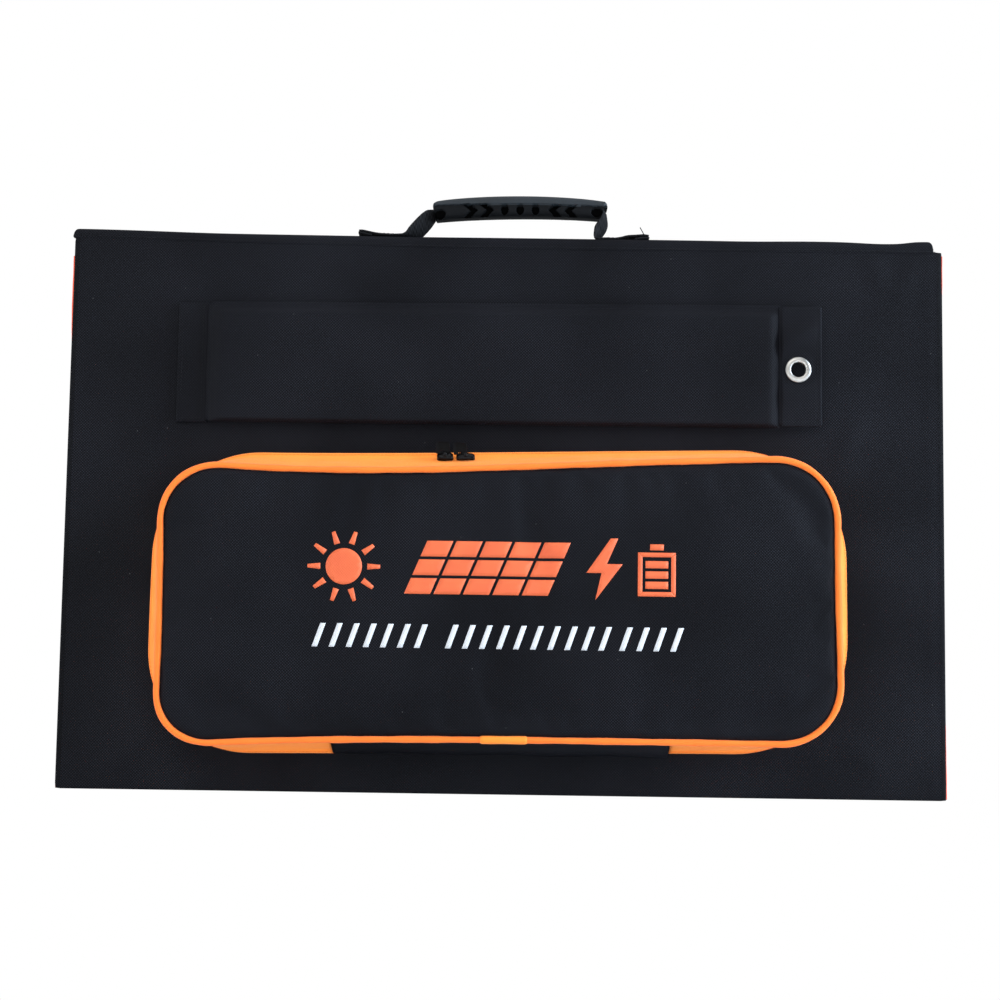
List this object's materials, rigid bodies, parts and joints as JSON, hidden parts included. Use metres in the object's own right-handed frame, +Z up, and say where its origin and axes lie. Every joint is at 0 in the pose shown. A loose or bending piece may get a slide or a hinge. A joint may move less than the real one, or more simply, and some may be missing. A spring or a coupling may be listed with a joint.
{
  "type": "folding solar blanket",
  "caption": "Padded fabric solar blanket folded like a Z, with carry handle, swing-out legs with pegging grommets and a zipped pouch for its junction box and output lead.",
  "frame": {"origin": "middle of the flat bottom face of the front panel, the face it rests on", "axes": "+X to the right seen from the front, +Y from the front face to the rear, +Z up towards the handle"},
  "size_m": [0.6, 0.0843, 0.4113],
  "materials": {
    "fabric": "coated twill, slight sheen",
    "binding": "woven binding tape",
    "orange_tape": "woven zip tape and piping",
    "board": "matt stiffener board",
    "laminate": "textured polymer film over solar cells",
    "webbing": "woven webbing",
    "grip_rubber": "moulded, satin",
    "nickel": "nickel plate",
    "black_enamel": "gloss black enamel",
    "hook_loop": "hook-and-loop pile",
    "black_plastic": "fine spark texture",
    "lead": "satin jacket"
  },
  "bodies": {
    "front_panel": {"front_cover": "fabric", "front_board": "board", "front_laminate": "laminate", "front_binding_left": "binding", "front_binding_right": "binding", "front_leg_anchor": "fabric", "front_leg_loop_patch": "hook_loop", "zip_tape_base": "orange_tape", "zip_coil_base": "orange_tape", "junction_box_base": "black_plastic", "junction_box_lid": "black_plastic", "cable_gland": "black_plastic", "output_lead": "lead", "output_connector": "black_plastic"},
    "front_spine": {"front_spine_strip": "fabric", "handle_foot_left": "webbing", "handle_foot_right": "webbing"},
    "second_panel": {"second_cover": "fabric", "second_board": "board", "second_laminate": "laminate", "second_binding_left": "binding", "second_binding_right": "binding"},
    "third_panel": {"third_cover": "fabric", "third_board": "board", "third_laminate": "laminate", "third_binding_left": "binding", "third_binding_right": "binding"},
    "rear_spine": {"rear_spine_strip": "fabric"},
    "rear_panel": {"rear_cover": "fabric", "rear_board": "board", "rear_laminate": "laminate", "rear_binding_left": "binding", "rear_binding_right": "binding", "rear_leg_anchor": "fabric", "rear_leg_loop_patch": "hook_loop"},
    "handle": {"handle_strap": "webbing", "handle_grip": "grip_rubber"},
    "front_leg": {"front_leg_hook_patch": "hook_loop", "front_leg_sleeve": "fabric", "front_leg_board": "board"},
    "front_leg_foot": {"front_leg_foot_flap": "fabric", "front_leg_grommet": "nickel", "front_leg_grommet_washer": "nickel"},
    "rear_leg": {"rear_leg_hook_patch": "hook_loop", "rear_leg_sleeve": "fabric", "rear_leg_board": "board"},
    "rear_leg_foot": {"rear_leg_foot_flap": "fabric", "rear_leg_grommet": "nickel", "rear_leg_grommet_washer": "nickel"},
    "pouch_lid": {"zip_tape_lid": "orange_tape", "zip_coil_lid": "orange_tape", "lid_hinge_gusset": "fabric", "lid_panel": "fabric", "lid_piping": "orange_tape", "lid_piping_sleeve": "orange_tape"},
    "slider_left": {"slider_left": "black_enamel"},
    "slider_right": {"slider_right": "black_enamel"},
    "pull_left": {"pull_left": "black_enamel"},
    "pull_right": {"pull_right": "black_enamel"}
  },
  "joints": [
    {"name": "front_spine_fold", "type": "hinge", "parent": "front_panel", "child": "front_spine", "pos_m": [0, -0.0044, 0.38], "axis": [1, 0, 0], "range_deg": [0, 90]},
    {"name": "second_panel_fold", "type": "hinge", "parent": "front_spine", "child": "second_panel", "pos_m": [0, 0.0159, 0.38], "axis": [1, 0, 0], "range_deg": [0, 90]},
    {"name": "lower_fold", "type": "hinge", "parent": "second_panel", "child": "third_panel", "pos_m": [0, 0.01725, 0.0004], "axis": [-1, 0, 0], "range_deg": [0, 180]},
    {"name": "rear_spine_fold", "type": "hinge", "parent": "third_panel", "child": "rear_spine", "pos_m": [0, 0.0186, 0.375], "axis": [1, 0, 0], "range_deg": [0, 90]},
    {"name": "rear_panel_fold", "type": "hinge", "parent": "rear_spine", "child": "rear_panel", "pos_m": [0, 0.0389, 0.375], "axis": [1, 0, 0], "range_deg": [0, 90]},
    {"name": "handle_swing", "type": "hinge", "parent": "front_spine", "child": "handle", "pos_m": [0, 0.00575, 0.3835], "axis": [1, 0, 0], "range_deg": [-40, 40]},
    {"name": "front_leg_swing", "type": "hinge", "parent": "front_panel", "child": "front_leg", "pos_m": [-0.2045, -0.0059, 0.29], "axis": [0, 0, -1], "range_deg": [0, 75]},
    {"name": "front_leg_foot_fold", "type": "hinge", "parent": "front_leg", "child": "front_leg_foot", "pos_m": [0.1865, -0.0136, 0.29], "axis": [0, 0, -1], "range_deg": [0, 90]},
    {"name": "rear_leg_swing", "type": "hinge", "parent": "rear_panel", "child": "rear_leg", "pos_m": [-0.2045, 0.0404, 0.29], "axis": [0, 0, 1], "range_deg": [0, 75]},
    {"name": "rear_leg_foot_fold", "type": "hinge", "parent": "rear_leg", "child": "rear_leg_foot", "pos_m": [0.1865, 0.0481, 0.29], "axis": [0, 0, 1], "range_deg": [0, 90]},
    {"name": "pouch_lid_open", "type": "hinge", "parent": "front_panel", "child": "pouch_lid", "pos_m": [0, -0.0065, 0.0275], "axis": [1, 0, 0], "range_deg": [0, 90]},
    {"name": "slider_left_travel", "type": "slide", "parent": "front_panel", "child": "slider_left", "axis": [1, 0, 0], "range_m": [-0.15, 0]},
    {"name": "slider_right_travel", "type": "slide", "parent": "front_panel", "child": "slider_right", "axis": [1, 0, 0], "range_m": [0, 0.205]},
    {"name": "pull_left_flip", "type": "hinge", "parent": "slider_left", "child": "pull_left", "pos_m": [-0.039, -0.0113, 0.2337], "axis": [1, 0, 0], "range_deg": [-20, 90]},
    {"name": "pull_right_flip", "type": "hinge", "parent": "slider_right", "child": "pull_right", "pos_m": [-0.0272, -0.0113, 0.2337], "axis": [1, 0, 0], "range_deg": [-20, 90]}
  ],
  "couplings": [
    {"joint": "second_panel_fold", "follows": "front_spine_fold", "ratio": 1},
    {"joint": "rear_panel_fold", "follows": "rear_spine_fold", "ratio": 1}
  ]
}
